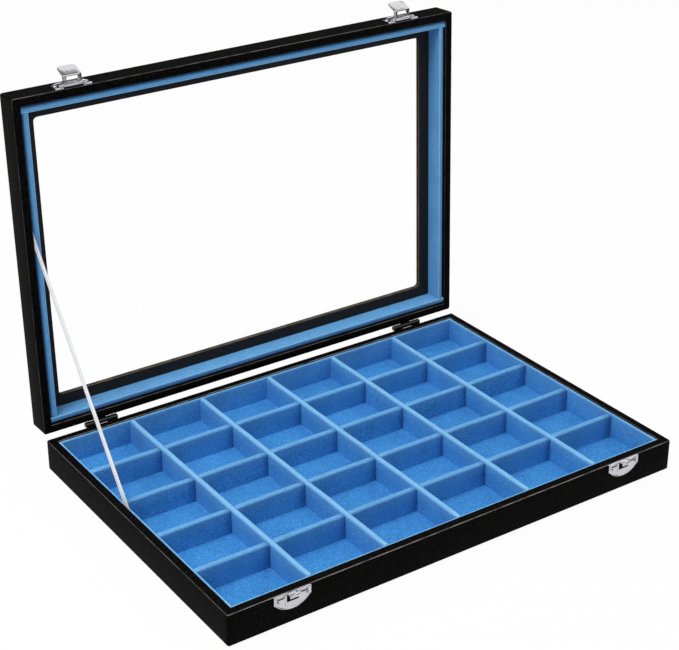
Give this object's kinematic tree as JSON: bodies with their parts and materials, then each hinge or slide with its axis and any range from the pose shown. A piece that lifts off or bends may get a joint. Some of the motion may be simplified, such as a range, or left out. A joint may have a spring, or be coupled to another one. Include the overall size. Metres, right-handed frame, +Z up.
{
  "type": "glass-topped jewellery tray box",
  "caption": "Shallow black leather-covered box with a grid of blue velvet compartments and a hinged glass-topped lid held open by a ribbon and shut by two hook latches.",
  "frame": {"origin": "centre of the base's underside, on the table", "axes": "+X to the right along the front, +Y from the front to the hinges, +Z up"},
  "size_m": [0.35, 0.2707, 0.2751],
  "materials": {
    "fibreboard": "raw board",
    "black_leather": "fine grain, low sheen",
    "blue_velvet": "short soft pile",
    "bright_metal": "bright plating",
    "black_lacquer": "gloss",
    "black_paper": "matte",
    "clear_glass": "polished",
    "white_satin": "satin weave"
  },
  "bodies": {
    "base": {"underside_sheet": "black_paper", "base_board": "fibreboard", "base_front_wall": "fibreboard", "base_rear_wall": "fibreboard", "base_left_wall": "fibreboard", "base_right_wall": "fibreboard", "base_leather_wrap": "black_leather", "floor_lining": "blue_velvet", "base_lining_front": "blue_velvet", "base_lining_rear": "blue_velvet", "base_lining_left": "blue_velvet", "base_lining_right": "blue_velvet", "row_divider_1": "blue_velvet", "row_divider_2": "blue_velvet", "row_divider_3": "blue_velvet", "row_divider_4": "blue_velvet", "column_divider_1": "blue_velvet", "column_divider_2": "blue_velvet", "column_divider_3": "blue_velvet", "column_divider_4": "blue_velvet", "column_divider_5": "blue_velvet", "hinge_base_leaf_left": "black_lacquer", "hinge_base_leaf_right": "black_lacquer", "hinge_pin_left": "black_lacquer", "hinge_pin_right": "black_lacquer", "hinge_base_screws": "black_lacquer", "catch_plate_left": "bright_metal", "catch_plate_right": "bright_metal", "catch_rivets": "bright_metal", "stay_ribbon": "white_satin"},
    "lid": {"lid_front_rail": "fibreboard", "lid_rear_rail": "fibreboard", "lid_left_rail": "fibreboard", "lid_right_rail": "fibreboard", "lid_window_board": "fibreboard", "lid_leather_wrap": "black_leather", "lid_inner_facing": "black_leather", "glass_pane": "clear_glass", "lid_lining_front": "blue_velvet", "lid_lining_rear": "blue_velvet", "lid_lining_left": "blue_velvet", "lid_lining_right": "blue_velvet", "hinge_lid_leaf_left": "black_lacquer", "hinge_lid_leaf_right": "black_lacquer", "hinge_lid_screws": "black_lacquer", "latch_plate_left": "bright_metal", "latch_plate_right": "bright_metal", "latch_pin_left": "bright_metal", "latch_pin_right": "bright_metal", "latch_rivets": "bright_metal"},
    "latch_flap_left": {"latch_flap_left": "bright_metal"},
    "latch_flap_right": {"latch_flap_right": "bright_metal"}
  },
  "joints": [
    {"name": "lid_hinge", "type": "hinge", "parent": "base", "child": "lid", "pos_m": [0, 0.1211, 0.0236], "axis": [1, 0, 0], "range_deg": [0, 92], "deforming": ["stay_ribbon"]},
    {"name": "latch_left", "type": "hinge", "parent": "lid", "child": "latch_flap_left", "pos_m": [-0.131, 0.13103, 0.2651], "axis": [1, 0, 0], "range_deg": [-37, 98]},
    {"name": "latch_right", "type": "hinge", "parent": "lid", "child": "latch_flap_right", "pos_m": [0.131, 0.13103, 0.2651], "axis": [1, 0, 0], "range_deg": [-37, 98]}
  ]
}
